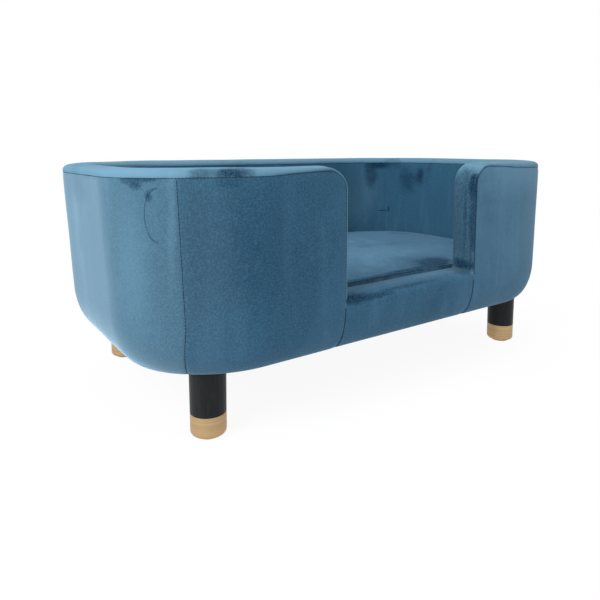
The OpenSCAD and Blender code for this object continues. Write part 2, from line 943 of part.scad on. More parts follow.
base_lower();
base_upper();
bottom_hoop();
top_hoop();
uprights();
outer_board();
inner_board();
arm_post_left();
arm_post_right();
rail_board();
frame_screws();
wadding_left();
wadding_back();
wadding_right();
foam_left();
foam_back();
foam_right();
rim_foam();
rail_foam();
cover_front_left();
cover_side_left();
cover_back();
cover_side_right();
cover_front_right();
cover_rim();
cover_rail();
inside_left();
inside_back();
inside_right();
deck_cloth();
dust_cover();
dust_staples();
at_leg(0) leg();  // leg_front_left
at_leg(1) leg();  // leg_front_right
at_leg(2) leg();  // leg_rear_left
at_leg(3) leg();  // leg_rear_right
at_leg(0) tip();  // tip_front_left
at_leg(1) tip();  // tip_front_right
at_leg(2) tip();  // tip_rear_left
at_leg(3) tip();  // tip_rear_right
glides();
hanger_bolts();
tee_nuts();
cushion_foam();
cushion_top();
cushion_boxing();
cushion_bottom();
zip();
zip_slider();
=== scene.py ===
"""Looks of the dog sofa bed: velvet, seams, loose seat cushion, cloths and finishes."""

import math

import bmesh
import bpy
import numpy as np
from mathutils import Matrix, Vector, kdtree, noise
from mathutils.bvhtree import BVHTree


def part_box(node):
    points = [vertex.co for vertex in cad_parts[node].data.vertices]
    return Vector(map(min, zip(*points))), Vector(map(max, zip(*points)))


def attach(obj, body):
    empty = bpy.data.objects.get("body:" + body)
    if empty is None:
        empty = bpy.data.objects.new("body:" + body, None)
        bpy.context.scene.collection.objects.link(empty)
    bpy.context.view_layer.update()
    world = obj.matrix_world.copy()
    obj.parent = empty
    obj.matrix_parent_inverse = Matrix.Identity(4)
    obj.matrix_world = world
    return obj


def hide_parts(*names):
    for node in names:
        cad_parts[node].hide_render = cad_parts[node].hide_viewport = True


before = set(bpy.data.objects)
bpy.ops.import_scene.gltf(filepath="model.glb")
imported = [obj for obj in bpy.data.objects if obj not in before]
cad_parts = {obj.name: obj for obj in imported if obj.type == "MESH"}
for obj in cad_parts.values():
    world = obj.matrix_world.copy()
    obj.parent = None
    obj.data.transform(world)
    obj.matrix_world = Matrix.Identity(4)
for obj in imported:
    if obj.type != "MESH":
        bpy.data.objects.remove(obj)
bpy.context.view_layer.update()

# Sizes that the frame gives, in metres.
GAP = 0.00025
RIM_END, HALF_D, BODY_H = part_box("cover_rim")[1]
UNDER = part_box("cover_back")[0].z
RAIL_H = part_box("cover_rail")[1].z
HALF_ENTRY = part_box("cover_rail")[1].x + GAP
DECK_LOW, DECK_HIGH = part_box("deck_cloth")
DUST_LOW, DUST_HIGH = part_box("dust_cover")
SEAT_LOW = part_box("cushion_bottom")[0]
SEAT_BACK_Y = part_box("cushion_boxing")[1].y
SEAT_SEAM_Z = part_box("cushion_boxing")[1].z + GAP
SEAT_CROWN_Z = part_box("cushion_top")[1].z
LEGS = ["front_left", "front_right", "rear_left", "rear_right"]
LEG_AXES = [sum(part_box("leg_" + leg), Vector()) / 2 for leg in LEGS]
LEG_R = (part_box("leg_front_left")[1].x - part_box("leg_front_left")[0].x) / 2

# The plan of the body and the sections of its layers, as the CAD source has them.
FLARE = 0.016
SEAM_DROP, CROWN_R = 0.009, 0.01
SEAM_Z = BODY_H - SEAM_DROP
HALF_L = RIM_END + FLARE * SEAM_DROP / (BODY_H - UNDER)
FRONT_RX, FRONT_RY = 0.174, 0.142
BACK_RX, BACK_RY = 0.22, 0.176
FRONT_CX, FRONT_CY = HALF_L - FRONT_RX, FRONT_RY - HALF_D
BACK_CX, BACK_CY = HALF_L - BACK_RX, HALF_D - BACK_RY
BULL_H, BULL_V = 0.034, 0.066
BULL_TOP = UNDER + BULL_V
TUCK_W = 0.022
WALL_T = 0.046
END_R = 0.032
RAIL_BACK, RAIL_ROUND, RAIL_DROP, RAIL_REAR_R = 0.001, 0.021, 0.014, 0.008
SEAT_GAP = 0.0045
PATH_END = 9
FRONT_SEAM, REAR_SEAM = 1.45, 3.5
END_U = END_R / (FRONT_CX - HALF_ENTRY)

# The rim strip's outer seam: its drop below the crown on the arm ends and at stations of the wall.
END_DROP = 0.003
SEAM_STATIONS = [END_U, 0.6, 1.0, 1.45, 2.5, 3.5]
SEAM_DROPS = [0.0045, 0.0055, 0.0085, 0.0095, 0.0105, 0.011]

# The arm ends' rounding, smaller than the crown's, and its share below the front rail's top.
END_CROWN_R, END_CROWN_DROP = 0.004, 0.0045
FOOT_SHARE, FOOT_RISE = 0.38, 0.015

# How far the padding swells out at each arm end, and how deep a seam allowance is turned in.
END_SWELL, END_SWELL_REACH = 0.003, 0.05
TURN_IN = 0.004

# The corner seam leans back a little over the rounded lower edge.
LEAN, LEAN_REACH = 0.04, 0.3

# The velvet's mesh: the step between its points, and the closer places beside each edge.
STEP = 0.006
EDGE_STEPS = [0, 0.0007, 0.0015, 0.0026, 0.0044]
CLOTH_T = 0.0015

# The velvet's surface: sizes, noise scales, and how far from a seam each reaches or starts.
VALLEY_DEPTH, VALLEY_WIDTH = 0.0009, 0.0022
CROWN_RISE, CROWN_REACH = 0.0008, 0.025
WOBBLE, WOBBLE_SCALE, WOBBLE_START = 0.0007, 11.0, 0.015
PUCKER, PUCKER_SCALE, PUCKER_REACH = 0.0003, 90, 0.012
FLAT_RISE = 0.004

# Thread: its radius, the length of a stitch and a gap, and the row beside an arm end's seam.
THREAD_R = 0.0003
STITCH, STITCH_GAP = 0.0032, 0.001
TOPSTITCH = 0.008

# The seat cushion: its seams, the bow of its edges, its crown and how uneven it is.
SEAT_SEAM_RISE = 0.0017
SEAT_SEAMS = (SEAT_LOW.z + 0.001, SEAT_SEAM_Z + SEAT_SEAM_RISE)
SEAT_PULL = 0.003
SEAT_FULLNESS = 4.5
SEAT_SLACK = 0.003
SEAT_PUCKER, SEAT_PUCKER_SCALE, SEAT_PUCKER_REACH = 0.0006, 70, 0.016
SEAT_WOBBLE, SEAT_WOBBLE_SCALE, SEAT_WOBBLE_START = 0.0009, 9, 0.03
SEAT_GROOVE = 0.0011
SEAT_THREAD_OUT = 0.002

# The simulation that blows the cushion up: its mesh, cloth and limits.
PAD_INSET, PAD_STEP = 0.001, 0.006
PRESSURE, BLOW_FRAMES, BLOW_CAP = 4.0, 20, 0.006
CLOTH_MASS, STRETCH_STIFFNESS, BEND_STIFFNESS = 0.25, 22, 1.2
KEEP_BESIDE_SEAM, KEEP_FADE = 0.003, 0.014

# Cloths under the cushion and under the base.
CLOTH_STEP = 0.012
LEG_HOLE_GAP = 0.0005

# Camera at the photograph's viewpoint.
CAMERA_AT = (-0.6166, -0.8086, 0.3744)
CAMERA_YAW, CAMERA_DOWN = 35.287, 6.0
LENS, SENSOR, SHIFT_Y = 32.84, 36.0, -0.156

# Soft lamps round the bed, turned towards one place: name, place, width and power.
LAMP_TARGET = (0, 0, 0.2)
LAMPS = [
    ("key", (-1.9, -0.6, 1.35), 1.2, 52),
    ("fill", (0.5, -2.2, 0.9), 1.6, 7),
    ("top", (0.1, 0.2, 2.2), 1.6, 20),
]
SKY, SKY_STRENGTH = (0.93, 0.96, 1, 1), 0.62

# The floor: paper that keeps the shadow, and a share of white that is full further out.
FLOOR_SIZE = 14
PAPER = (0.86, 0.86, 0.86, 1)
WHITE_SHARE, WHITE_FROM, WHITE_TO = 0.93, 0.3, 0.75


# Camera and light


def in_scene(name, data):
    """A new object of the scene that holds the data."""
    obj = bpy.data.objects.new(name, data)
    bpy.context.scene.collection.objects.link(obj)
    return obj


def make_camera():
    data = bpy.data.cameras.new("camera")
    data.lens, data.sensor_width, data.shift_y = LENS, SENSOR, SHIFT_Y
    data.clip_start = 0.01
    camera = in_scene("camera", data)
    camera.location = CAMERA_AT
    camera.rotation_euler = (math.radians(90 - CAMERA_DOWN), 0, math.radians(-CAMERA_YAW))
    bpy.context.scene.camera = camera


def make_light():
    for name, at, width, watts in LAMPS:
        data = bpy.data.lights.new(name, "AREA")
        data.shape, data.size, data.energy = "DISK", width, watts
        lamp = in_scene(name, data)
        lamp.location = at
        look = Vector(LAMP_TARGET) - Vector(at)
        lamp.rotation_euler = look.to_track_quat("-Z", "Y").to_euler()


# Nodes of the materials, the world and the floor


class Nodes:
    """Short calls for building the nodes of a material or a world."""

    def __init__(self, owner):
        owner.use_nodes = True
        self.owner = owner
        self.nodes, self.links = owner.node_tree.nodes, owner.node_tree.links

    def put(self, value, socket):
        if isinstance(value, bpy.types.NodeSocket):
            self.links.new(value, socket)
        else:
            socket.default_value = value

    def node(self, kind, inputs=(), output=0, **settings):
        """One output of a new node that has these inputs and settings."""
        node = self.nodes.new("ShaderNode" + kind)
        for name, value in settings.items():
            setattr(node, name, value)
        for name, value in dict(inputs).items():
            self.put(value, node.inputs[name])
        return node.outputs[output]

    def math(self, operation, a, b=0.0):
        return self.node("Math", {0: a, 1: b}, operation=operation)

    def times(self, a, b):
        return self.math("MULTIPLY", a, b)

    def length(self, a):
        return self.node("VectorMath", {0: a}, "Value", operation="LENGTH")

    def vector(self, operation, a, b):
        return self.node("VectorMath", {0: a, 1: b}, operation=operation)

    def seen(self):
        """1 where a camera, mirror or glass ray looks, and 0 for light."""
        camera, gloss, glass = (
            self.node("LightPath", output=f"Is {kind} Ray")
            for kind in ("Camera", "Glossy", "Transmission")
        )
        return self.math("MAXIMUM", self.math("MAXIMUM", camera, gloss), glass)


class Finish(Nodes):
    """A material, with short calls for its textures."""

    def __init__(self, name):
        super().__init__(bpy.data.materials.new(name))
        self.place = self.node("TexCoord", output="Object")

    def made(self, **values):
        """The material, once its shader has these values."""
        for name, value in values.items():
            self.put(value, self.nodes["Principled BSDF"].inputs[name.replace("_", " ")])
        return self.owner

    def stretched(self, scale, at=(0, 0, 0), kind="POINT", turn=(0, 0, 0)):
        inputs = {"Vector": self.place, "Location": at, "Rotation": turn, "Scale": scale}
        return self.node("Mapping", inputs, vector_type=kind)

    def noise(self, scale, detail=3.0, rough=0.5, distort=0.0, place=None, output=0):
        inputs = {"Vector": place or self.place, "Scale": scale, "Detail": detail}
        inputs.update({"Roughness": rough, "Distortion": distort})
        return self.node("TexNoise", inputs, output)

    def wave(self, scale, place, kind="X"):
        inputs = {"Vector": place, "Scale": scale, "Distortion": 2.0}
        return self.node("TexWave", inputs, "Fac", bands_direction=kind)

    def spread(self, value, low, high, to_low=0.0, to_high=1.0):
        inputs = enumerate((value, low, high, to_low, to_high))
        return self.node("MapRange", inputs, interpolation_type="SMOOTHSTEP")

    def mix(self, share, a, b):
        """A mix of two colours, which are sockets 6 and 7 of the node and come out of socket 2."""
        a, b = ((*c, 1) if isinstance(c, tuple) else c for c in (a, b))
        return self.node("Mix", {0: share, 6: a, 7: b}, 2, data_type="RGBA")

    def bump(self, height, distance, strength=1.0, under=None):
        inputs = {"Height": height, "Strength": strength, "Distance": distance}
        if under is not None:
            inputs["Normal"] = under
        return self.node("Bump", inputs)

    def mark(self, at, size, turn=(0, 0, 0), soft=0.6, ragged=0.6):
        """1 inside an ellipsoid with a ragged, soft edge, and 0 outside."""
        wander = self.vector("SUBTRACT", self.noise(55, 5, 0.68, output=1), (0.5, 0.5, 0.5))
        wander = self.vector("MULTIPLY", wander, (2 * ragged,) * 3)
        local = self.stretched(size, at, "TEXTURE", turn)
        away = self.length(self.vector("ADD", local, wander))
        return self.spread(away, 1 - soft, 1 + soft, 1.0, 0.0)

    def arc(self, at, size, turn, line):
        """1 on the left half of an ellipse's line, and 0 elsewhere."""
        local = self.stretched(size, at, "TEXTURE", turn)
        off = self.math("ABSOLUTE", self.math("SUBTRACT", self.length(local), 1.0))
        left = self.spread(self.node("SeparateXYZ", {0: local}), -0.2, 0.25, 1.0, 0.0)
        return self.times(self.spread(off, 0.0, line, 1.0, 0.0), left)


def make_world():
    """A white surround for the eye, and a soft grey sky for light."""
    world = bpy.data.worlds.new("studio")
    bpy.context.scene.world = world
    n = Nodes(world)
    sky = n.nodes["Background"]
    sky.inputs["Color"].default_value = SKY
    sky.inputs["Strength"].default_value = SKY_STRENGTH
    white = n.node("Background", {"Color": (1, 1, 1, 1)})
    mixed = n.node("MixShader", {0: n.seen(), 1: sky.outputs[0], 2: white})
    n.put(mixed, n.nodes["World Output"].inputs[0])


def make_floor():
    """A pale floor that reads as white and keeps a faint shadow."""
    bpy.ops.mesh.primitive_plane_add(size=FLOOR_SIZE)
    floor = bpy.context.object
    floor.name = "floor"
    n = Finish("floor_white")
    n.made(Base_Color=PAPER, Roughness=0.9)
    inputs = enumerate((n.length(n.place), WHITE_FROM, WHITE_TO, WHITE_SHARE, 1.0))
    share = n.times(n.seen(), n.node("MapRange", inputs))
    paper = n.nodes["Principled BSDF"].outputs[0]
    mixed = n.node("MixShader", {0: share, 1: paper, 2: n.node("Emission")})
    n.put(mixed, n.nodes["Material Output"].inputs[0])
    floor.data.materials.append(n.owner)


# Materials


def velvet(name, base, dark, light, mottle, streak, sheen, marks=()):
    """Short-pile velvet: brushed patches, streaks where it was stroked, fine pile and sheen."""
    n = Finish(name)
    cloud = n.noise(7.0, 4.0, 0.55, 0.8)
    patch = n.times(n.spread(cloud, 0.5, 0.68), mottle)
    colour = n.mix(patch, base, dark)
    strokes = n.noise(1.0, 4.0, 0.6, 0.4, n.stretched((26, 26, 3.2)))
    colour = n.mix(n.times(n.spread(strokes, 0.48, 0.72), streak), colour, light)
    # Each mark mixes its tone in; the lists of marks say which are pile lying over and which are
    # painted shade and painted highlights.
    for mark in marks:
        area = n.arc(**mark["area"]) if "line" in mark["area"] else n.mark(**mark["area"])
        colour = n.mix(n.times(area, mark["share"]), colour, mark["tone"])
    pile = n.noise(1500, 2.0, 0.7)
    grain = n.noise(420, 3.0, 0.65)
    colour = n.mix(n.times(n.spread(grain, 0.38, 0.68), 0.22), colour, light)
    soft = n.bump(n.noise(24, 2.0), 0.0012, 0.25)
    fine = n.bump(n.math("ADD", n.times(pile, 0.5), grain), 0.0004, 0.35, soft)
    return n.made(
        Base_Color=colour,
        Roughness=n.spread(cloud, 0.3, 0.7, 0.78, 0.95),
        Normal=fine,
        Sheen_Weight=sheen,
        Sheen_Roughness=0.42,
        Sheen_Tint=(0.52, 0.74, 0.9, 1),
        Specular_IOR_Level=0.04,
    )


def thread():
    n = Finish("thread")
    twist = n.wave(300, n.stretched((1, 1, 1), turn=(0.5, 0.6, 0.7)))
    return n.made(
        Base_Color=n.mix(n.times(twist, 0.5), (0.003, 0.011, 0.022), (0.009, 0.028, 0.05)),
        Roughness=0.8,
        Specular_IOR_Level=0.1,
        Normal=n.bump(twist, 0.0002, 0.5),
    )


def woven_cloth(name, low, high, threads):
    """Plain weave, from two crossed sets of threads."""
    n = Finish(name)
    across = n.wave(threads, n.place, "X")
    along = n.wave(threads, n.place, "Y")
    weave = n.math("MAXIMUM", across, along)
    uneven = n.noise(60, 4.0, 0.6)
    shade = n.math("ADD", n.times(weave, 0.6), n.times(uneven, 0.4))
    return n.made(
        Base_Color=n.mix(shade, low, high),
        Roughness=0.92,
        Normal=n.bump(weave, 0.0002, 0.6),
        Sheen_Weight=0.15,
    )


def wood(name, pale, deep, plies=None):
    """Sawn wood with long grain, and the lines of its plies at a scale, where it has them."""
    n = Finish(name)
    grain = n.noise(1.0, 6.0, 0.62, 1.4, n.stretched((5, 55, 55)))
    pores = n.noise(1.0, 3.0, 0.7, 0.0, n.stretched((40, 620, 620)))
    colour = n.mix(n.spread(grain, 0.3, 0.72), pale, deep)
    colour = n.mix(n.times(n.spread(pores, 0.55, 0.75), 0.35), colour, deep)
    height = n.math("ADD", grain, n.times(pores, 0.4))
    if plies:
        colour = n.mix(n.times(n.wave(plies, n.place, "Z"), 0.3), colour, deep)
    return n.made(
        Base_Color=colour,
        Roughness=n.spread(pores, 0.3, 0.7, 0.55, 0.75),
        Normal=n.bump(height, 0.0005, 0.3),
    )


def fibre_board():
    n = Finish("fibre_board")
    fibres = n.noise(240, 5.0, 0.7, 2.0)
    return n.made(
        Base_Color=n.mix(n.spread(fibres, 0.3, 0.7), (0.2, 0.115, 0.06), (0.34, 0.21, 0.12)),
        Roughness=0.7,
        Normal=n.bump(fibres, 0.0002, 0.4),
    )


def stained_wood():
    """Legs: turned wood, stained black, with satin lacquer and rubbed places."""
    n = Finish("stained_wood")
    grain = n.noise(1.0, 6.0, 0.65, 1.0, n.stretched((130, 130, 7)))
    turned = n.noise(1.0, 2.0, 0.5, 0.0, n.stretched((3, 3, 900)))
    rubbed = n.times(n.noise(26, 5.0, 0.7), 0.5)
    colour = n.mix(n.spread(grain, 0.35, 0.7), (0.004, 0.005, 0.0054), (0.01, 0.012, 0.013))
    colour = n.mix(n.times(n.spread(rubbed, 0.3, 0.42), 0.15), colour, (0.03, 0.032, 0.033))
    height = n.math("ADD", grain, n.times(turned, 0.4))
    return n.made(
        Base_Color=colour,
        Roughness=n.spread(grain, 0.3, 0.7, 0.36, 0.52),
        Normal=n.bump(height, 0.0004, 0.3),
        Specular_IOR_Level=0.18,
    )


def brushed_gold():
    """Tips: gold lacquered metal, brushed round the leg, with fine scuffs."""
    n = Finish("brushed_gold")
    brushed = n.noise(1.0, 4.0, 0.7, 0.0, n.stretched((6, 6, 1900)))
    bands = n.noise(1.0, 2.0, 0.5, 0.0, n.stretched((2, 2, 640)))
    scuffs = n.noise(90, 5.0, 0.75, 0.6)
    colour = n.mix(n.spread(bands, 0.3, 0.7), (0.42, 0.285, 0.15), (0.5, 0.345, 0.185))
    colour = n.mix(n.times(n.spread(scuffs, 0.56, 0.74), 0.3), colour, (0.3, 0.2, 0.105))
    return n.made(
        Base_Color=colour,
        Metallic=0.85,
        Roughness=n.spread(brushed, 0.25, 0.75, 0.42, 0.6),
        Normal=n.bump(n.math("ADD", brushed, bands), 0.0002, 0.22),
    )


def metal(name, pale, dull):
    n = Finish(name)
    scratched = n.noise(1.0, 4.0, 0.7, 0.5, n.stretched((300, 300, 60)))
    return n.made(
        Base_Color=n.mix(n.spread(scratched, 0.3, 0.7), pale, dull),
        Metallic=1.0,
        Roughness=n.spread(scratched, 0.3, 0.7, 0.25, 0.45),
        Normal=n.bump(scratched, 0.0001, 0.3),
    )


def moulded_plastic():
    n = Finish("moulded_plastic")
    pores = n.noise(700, 3.0, 0.6)
    return n.made(
        Base_Color=n.mix(n.noise(30, 3.0), (0.012, 0.012, 0.013), (0.03, 0.03, 0.032)),
        Roughness=n.spread(pores, 0.3, 0.7, 0.45, 0.65),
        Normal=n.bump(pores, 0.0002, 0.4),
    )


# The plan of the body and grids of points on its layers


def plan(u, z, d):
    """Points [x, y] of the wall path at stations u, heights z and depths d below its face."""
    u, z, d = np.broadcast_arrays(*(np.asarray(v, float) for v in (u, z, d)))
    right = u > PATH_END / 2
    v = np.where(right, PATH_END - u, u)
    k = np.floor(v).astype(int)
    t = v - k
    ds = d + FLARE * (BODY_H - z) / (BODY_H - UNDER)
    front, back = np.radians(270 - 90 * t), np.radians(180 - 90 * t)
    parts = [k == part for part in range(5)]
    x = np.select(
        parts,
        [
            -HALF_ENTRY - t * (FRONT_CX - HALF_ENTRY),
            -FRONT_CX + (FRONT_RX - ds) * np.cos(front),
            ds - HALF_L,
            -BACK_CX + (BACK_RX - ds) * np.cos(back),
            (2 * t - 1) * BACK_CX,
        ],
    )
    y = np.select(
        parts,
        [
            d - HALF_D,
            FRONT_CY + (FRONT_RY - d) * np.sin(front),
            FRONT_CY + t * (BACK_CY - FRONT_CY),
            BACK_CY + (BACK_RY - d) * np.sin(back),
            HALF_D - d,
        ],
    )
    return np.stack([np.where(right, -x, x), y], -1)


def run_along(points):
    """How far each point of a line lies along it."""
    return np.concatenate([[0], np.cumsum(np.linalg.norm(np.diff(points, axis=0), axis=1))])


def graded(length, step=STEP):
    """Places from 0 to a length, close together at both ends and about a step apart between."""
    edge = np.array(EDGE_STEPS)
    count = max(2, round((length - 2 * edge[-1]) / step) + 1)
    inner = np.linspace(edge[-1], length - edge[-1], count)
    return np.concatenate([edge[:-1], inner, length - edge[:-1][::-1]])


def stations(u0, u1, step=STEP, even=False):
    """Stations from u0 to u1, about a step apart along the rim and closer at both ends."""
    fine = np.linspace(u0, u1, 4000)
    run = run_along(plan(fine, BODY_H, 0))
    equal = np.linspace(0, run[-1], max(2, round(run[-1] / step) + 1))
    return np.interp(equal if even else graded(run[-1], step), run, fine)


def smooth(t):
    """A soft step from 0 at 0 to 1 at 1."""
    t = t.clip(0, 1)
    return t * t * (3 - 2 * t)


def crown_size(u):
    """Depth and drop of the rim's outer rounding at stations u of the wall."""
    v = np.minimum(u, PATH_END - u)
    depth = np.interp(v, [END_U, 1], [END_CROWN_R, CROWN_R])
    return depth, np.interp(v, [END_U, 1], [END_CROWN_DROP, SEAM_DROP])


def crown_depth(below, u):
    """Depth of the rim's outer rounding at distances below the crown and stations u of the wall."""
    depth, drop = crown_size(u)
    s = (1 - below / drop).clip(0, 1)
    return depth * (1 - np.sqrt(1 - s * s))


def foot_rise(z):
    """0 beside the front rail's face, and 1 from its top upwards."""
    return smooth((z - BULL_TOP - 2 * GAP) / FOOT_RISE)


def foot_seam(z):
    """How far the front panel's edge lies from the arm's end, at heights z of its straight part."""
    return GAP + (END_DROP - GAP) * foot_rise(z)


def foot_share(z):
    return FOOT_SHARE + (1 - FOOT_SHARE) * foot_rise(z)


def swollen_end(points):
    """The same points with the arm ends' padding swollen into the entry, above the rail."""
    x, y, z = np.moveaxis(points, -1, 0)
    away = ((abs(x) - HALF_ENTRY) / END_SWELL_REACH).clip(0, 1)
    front = y < WALL_T - HALF_D + CLOTH_T
    t = ((z - BODY_H + END_R) / END_R).clip(0, 1)
    out = END_SWELL * (1 - away) ** 2 * foot_rise(z) * np.sqrt(1 - t * t) * front
    return np.stack([x - np.sign(x) * out, y, z], -1)


def lean(u, z):
    """Stations u moved along with the corner seam, which leans over the lower edge."""
    low = ((BULL_TOP - z) / BULL_V).clip(0, 1)
    return u + LEAN * low * (1 - abs(u - FRONT_SEAM) / LEAN_REACH).clip(0, 1)


def seam_drop(u):
    """Drop of the rim strip's outer seam at stations u of the wall."""
    return np.interp(np.minimum(u, PATH_END - u), SEAM_STATIONS, SEAM_DROPS)


def with_height(xy, z):
    return np.concatenate([xy, np.broadcast_to(z, xy.shape[:-1])[..., None]], -1)


def bull_section(back=0.0, steps=14):
    """The velvet's path from under the base round the lower edge, as [depth, height] points."""
    under = [[BULL_H + TUCK_W * s, UNDER] for s in (1, 0.66, 0.33)]
    a = np.radians(np.linspace(90, 0, steps))
    bend = np.stack([BULL_H - (BULL_H - back) * np.cos(a), BULL_TOP - BULL_V * np.sin(a)], -1)
    return np.concatenate([under, bend])


def finished(name, built):
    """An object with the mesh that was built."""
    mesh = bpy.data.meshes.new(name)
    built.to_mesh(mesh)
    built.free()
    return in_scene(name, mesh)


def mesh_of(name, points, material, facing):
    """A grid's faces as an object, which look out (1), up (0) or to the body's middle (-1)."""
    built = bmesh.new()
    rows = [[built.verts.new(p) for p in row] for row in points]
    for low, high in zip(rows, rows[1:]):
        for a, b, c, d in zip(low, low[1:], high[1:], high):
            built.faces.new((a, b, c, d))
    built.normal_update()
    faces = [(f.calc_center_median(), f.normal) for f in built.faces]
    ways = [
        normal.dot((facing * at.x, facing * at.y, float(facing == 0)))
        for at, normal in faces
        if at.z > BULL_TOP
    ]
    if sum(ways) < 0:
        bmesh.ops.reverse_faces(built, faces=built.faces)
    for face in built.faces:
        face.smooth = True
    obj = finished(name, built)
    obj.data.materials.append(material)
    return obj


def seam_edges(built):
    """The open edges that are sewn to a neighbour, which all lie above the underside."""
    middle = {e: (e.verts[0].co + e.verts[1].co) / 2 for e in built.edges if len(e.link_faces) == 1}
    return [e for e, p in middle.items() if p.z > UNDER + GAP]


def seam_points(built):
    """Points close together on the seams."""
    found = []
    for edge in seam_edges(built):
        a, b = (v.co for v in edge.verts)
        found += [a.lerp(b, t / 6) for t in range(6)]
    return found


def turn_in(built, inward):
    """Adds a seam allowance along each seam, which follows the way inward of each point."""
    edges = seam_edges(built)
    corners = {v: v.co + inward[v] for e in edges for v in e.verts}
    turned = {v: built.verts.new(p) for v, p in corners.items()}
    for e in edges:
        loop = e.link_loops[0]
        a, b = loop.vert, loop.link_loop_next.vert
        face = built.faces.new((b, a, turned[a], turned[b]))
        face.smooth = True
        face.material_index = loop.face.material_index
        e.smooth = False


def upholster(obj, rise, valley):
    """Lets the velvet swell between its seams, dip and turn in at them, and stay uneven."""
    built = bmesh.new()
    built.from_mesh(obj.data)
    built.normal_update()
    tree = nearest(seam_points(built))
    moved = []
    for v in built.verts:
        away = tree.find(v.co)[2]
        dip = valley * math.exp(-((away / VALLEY_WIDTH) ** 2))
        swell = rise * (1 - math.exp(-away / CROWN_REACH))
        uneven = WOBBLE * noise.noise(v.co * WOBBLE_SCALE) * min(1, away / WOBBLE_START)
        pucker = PUCKER * noise.noise(v.co * PUCKER_SCALE) * math.exp(-away / PUCKER_REACH)
        flat = min(1.0, max(0.0, (v.co.z - UNDER) / FLAT_RISE))
        moved.append(v.co + v.normal * (flat * (swell + uneven + pucker) - dip))
    for v, p in zip(built.verts, moved):
        v.co = p
    turn_in(built, {v: -TURN_IN * v.normal for v in built.verts})
    built.to_mesh(obj.data)
    built.free()


def thicken(obj):
    """Gives the cloth its thickness, inwards."""
    solid = obj.modifiers.new("thickness", "SOLIDIFY")
    solid.thickness = CLOTH_T
    solid.offset = -1
    applied(obj)


def nearest(places):
    """A tree that finds the nearest of the places."""
    tree = kdtree.KDTree(len(places))
    for i, p in enumerate(places):
        tree.insert(p, i)
    tree.balance()
    return tree


def applied(obj):
    """Applies every modifier of an object."""
    evaluated = obj.evaluated_get(bpy.context.evaluated_depsgraph_get())
    mesh = bpy.data.meshes.new_from_object(evaluated)
    obj.modifiers.clear()
    obj.data = mesh


# Velvet pieces of the body


def panel_sides(top):
    """Heights of an outer panel up to its top line, and the depths of its lower edge."""
    section = bull_section()[..., None] + np.zeros(len(top))
    z = BULL_TOP + graded(1.0, STEP / (SEAM_Z - BULL_TOP))[1:, None] * (top - BULL_TOP)
    return np.concatenate([section[:, 1], z]), section[:, 0]


def front_panel(side):
    """Points of the front panel of one arm, whose edge follows the arm's top corner."""
    reach = FRONT_CX - HALF_ENTRY
    corner = np.radians(np.linspace(90, 0, 13))
    drop = np.linspace(END_DROP, SEAM_DROPS[0], len(corner))
    rest = stations(END_U, FRONT_SEAM)[len(EDGE_STEPS) :]
    upper = np.concatenate([(END_R - (END_R - drop) * np.sin(corner)) / reach, rest])
    bend = BODY_H - END_R + (END_R - drop) * np.cos(corner)
    top = np.concatenate([bend, BODY_H - seam_drop(rest)])
    z, low = panel_sides(top)
    depth = np.concatenate([low, np.zeros((len(z) - len(low), len(upper)))])
    widen = ((END_U - upper) / END_U).clip(0, 1) * (END_DROP - foot_seam(z)) / reach
    u = upper - widen
    e = u * reach
    over = np.hypot(END_R - e, (z - BODY_H + END_R).clip(0))
    below = np.where(e < END_R, END_R - over, BODY_H - z)
    depth = depth + foot_share(z) * crown_depth(below, u)
    return swollen_end(with_height(plan(lean(u, z), z, depth), z)) * (side, 1, 1)


def wall_panel(u0, u1, side=1):
    """Points of a panel of the side or the back, from under the base to the rim strip's seam."""
    u = stations(u0, u1)
    z, low = panel_sides(BODY_H - seam_drop(u))
    depth = np.concatenate([low, crown_depth(BODY_H - z[len(low) :], u)])
    return with_height(plan(lean(np.broadcast_to(u, z.shape), z), z, depth), z) * (side, 1, 1)


def inner_panel(u0, u1, side=1):
    """Points of the velvet on the inner face of the wall, from the deck to the rim strip's seam."""
    u = stations(u0, u1)
    e = (np.minimum(u, END_U) * (FRONT_CX - HALF_ENTRY)).clip(SEAM_DROP + GAP, END_R)
    r = END_R - SEAM_DROP
    bend = BODY_H - END_R + np.sqrt(np.maximum(0, r**2 - (END_R - e) ** 2))
    top = np.where(u < END_U, bend, SEAM_Z)
    z = DECK_HIGH.z + graded(1.0, STEP / (SEAM_Z - DECK_HIGH.z))[:, None] * (top - DECK_HIGH.z)
    return swollen_end(with_height(plan(np.broadcast_to(u, z.shape), z, WALL_T), z)) * (side, 1, 1)


def rim_section(start_drop, depth, drop):
    """The rim strip's crossing from its outer seam to its inner one, as [depth, drop] points."""
    a = np.radians(np.linspace(0, 90, 12))
    outer = np.stack([depth * (1 - np.cos(a)), drop * (1 - np.sin(a))], -1)
    inner = np.stack([WALL_T - outer[::-1, 0], outer[::-1, 1]], -1)
    middle = np.linspace(depth, WALL_T - depth, 8)[1:-1]
    flat = np.stack([middle, np.zeros_like(middle)], -1)
    whole = np.concatenate([[[0, 2 * SEAM_DROP]], outer, flat, inner, [[WALL_T, SEAM_DROP]]])
    run = run_along(whole)
    start = np.interp(-start_drop, -whole[:13, 1], run[:13])
    places = start + graded(1.0, 0.0028 / 0.045) * (run[-1] - start)
    section = np.stack([np.interp(places, run, whole[:, k]) for k in (0, 1)], -1)
    section[:, 1] -= 0.0015 * np.sin(math.pi * section[:, 0] / WALL_T) ** 2
    return section


def arm_end_ring(side, a, drop_at, share=1.0):
    """One ring of the rim strip on the arc over an arm end."""
    depth, drop = rim_section(drop_at, END_CROWN_R * share, END_CROWN_DROP).T
    x = side * (HALF_ENTRY + END_R - (END_R - drop) * math.sin(a))
    return np.stack([x, depth - HALF_D, BODY_H - END_R + (END_R - drop) * math.cos(a)], -1)


